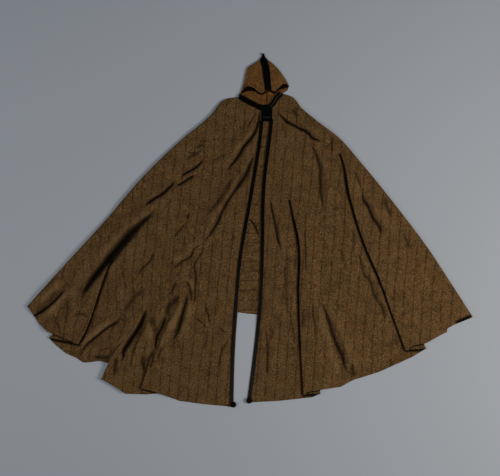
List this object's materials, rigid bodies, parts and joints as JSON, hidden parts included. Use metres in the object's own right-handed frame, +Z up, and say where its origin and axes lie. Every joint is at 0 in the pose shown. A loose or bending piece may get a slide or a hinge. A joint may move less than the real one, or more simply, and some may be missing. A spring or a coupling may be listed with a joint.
{
  "type": "hooded cloak",
  "caption": "Brown wool hooded cloak laid flat face up, with black braid down the open fronts and a neck clasp.",
  "frame": {"origin": "middle of the underside's bounding box, on the ground the cloak lies on", "axes": "+X across the cloak to the picture's right, +Y from the hem towards the hood, +Z up off the ground"},
  "size_m": [2.136, 1.699, 0.0286],
  "materials": {
    "brown_wool": "matte brushed wool twill with faint darker stripes",
    "black_braid": "plaited black cord with a soft sheen",
    "dark_tape": "smooth dark ribbon"
  },
  "bodies": {
    "root": {"body": "brown_wool", "hood_left": "brown_wool", "hood_right": "brown_wool", "hood_tape": "dark_tape", "hood_tip_knot": "black_braid", "neck_braid_left": "black_braid", "neck_braid_right": "black_braid", "clasp": "black_braid", "front_braid_left": "black_braid", "front_braid_right": "black_braid", "hem_knot_left": "black_braid", "hem_knot_right": "black_braid"}
  },
  "joints": []
}
